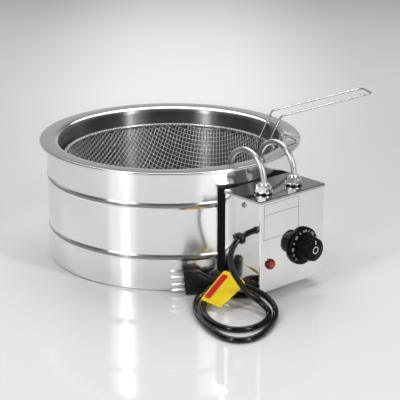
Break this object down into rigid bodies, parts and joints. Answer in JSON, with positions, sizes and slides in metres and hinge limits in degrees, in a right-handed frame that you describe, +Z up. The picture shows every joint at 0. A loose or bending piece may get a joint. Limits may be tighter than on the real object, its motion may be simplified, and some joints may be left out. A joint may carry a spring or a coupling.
{
  "type": "electric deep fryer",
  "caption": "Round electric deep fryer with a double-walled drum, hung oil pot, lift-out wire basket, arched heating element and a side control box on a plugged mains cord.",
  "frame": {"origin": "middle of the drum's foot, on the surface it stands on", "axes": "+Z up, -Y from the drum toward the control box, +X to the right of someone who faces the control box"},
  "size_m": [0.494, 0.5254, 0.2136],
  "materials": {
    "polished_steel": "mirror polished stainless steel",
    "base_steel": "mill finish steel sheet",
    "wire_steel": "bright drawn stainless wire",
    "element_tube": "polished heater tube",
    "fitting_steel": "bright plated steel",
    "black_rubber": "semi-matt black rubber",
    "black_plastic": "satin black moulding",
    "thermostat_case": "moulded resin",
    "sensor_copper": "drawn copper tube",
    "red_lens": "clear red lens",
    "lamp_case": "black moulding",
    "block_ceramic": "unglazed white ceramic",
    "wire_cover": "heat-proof silicone cover",
    "pin_brass": "nickel plated brass",
    "tag_paper": "coated yellow paper with a red band"
  },
  "bodies": {
    "base": {"outer_drum": "polished_steel", "drum_base_plate": "base_steel", "fryer_pot": "polished_steel", "heating_element": "element_tube", "element_nuts": "fitting_steel", "element_washers": "fitting_steel", "element_seals": "black_rubber", "element_bushings": "fitting_steel", "element_locknuts": "fitting_steel", "element_terminals": "fitting_steel", "control_box_body": "polished_steel", "control_box_lid": "polished_steel", "lid_screws": "fitting_steel", "mounting_spacer": "black_plastic", "mounting_screws": "fitting_steel", "mounting_nuts": "fitting_steel", "thermostat_body": "thermostat_case", "thermostat_screws": "fitting_steel", "thermostat_sensor": "sensor_copper", "sensor_clips": "fitting_steel", "pilot_lens": "red_lens", "pilot_body": "lamp_case", "pilot_clip": "fitting_steel", "terminal_block": "block_ceramic", "terminal_screws": "fitting_steel", "earth_stud": "fitting_steel", "earth_nut": "fitting_steel", "internal_leads": "wire_cover", "cord_cores": "wire_cover", "strain_relief": "black_rubber", "cord_tie": "black_plastic", "power_cord": "black_rubber", "plug_body": "black_plastic", "plug_pins": "pin_brass", "cord_tag": "tag_paper"},
    "basket": {"basket_bowl": "wire_steel", "basket_rim_ring": "wire_steel", "basket_handle": "wire_steel", "basket_hook": "wire_steel"},
    "knob": {"control_knob": "black_plastic", "thermostat_shaft": "fitting_steel"}
  },
  "joints": [
    {"name": "basket_lift", "type": "slide", "parent": "base", "child": "basket", "axis": [0, 0, 1], "range_m": [0, 0.2]},
    {"name": "thermostat_turn", "type": "hinge", "parent": "base", "child": "knob", "pos_m": [0.0185, -0.252, 0.0663], "axis": [0, 1, 0], "range_deg": [0, 270]}
  ]
}
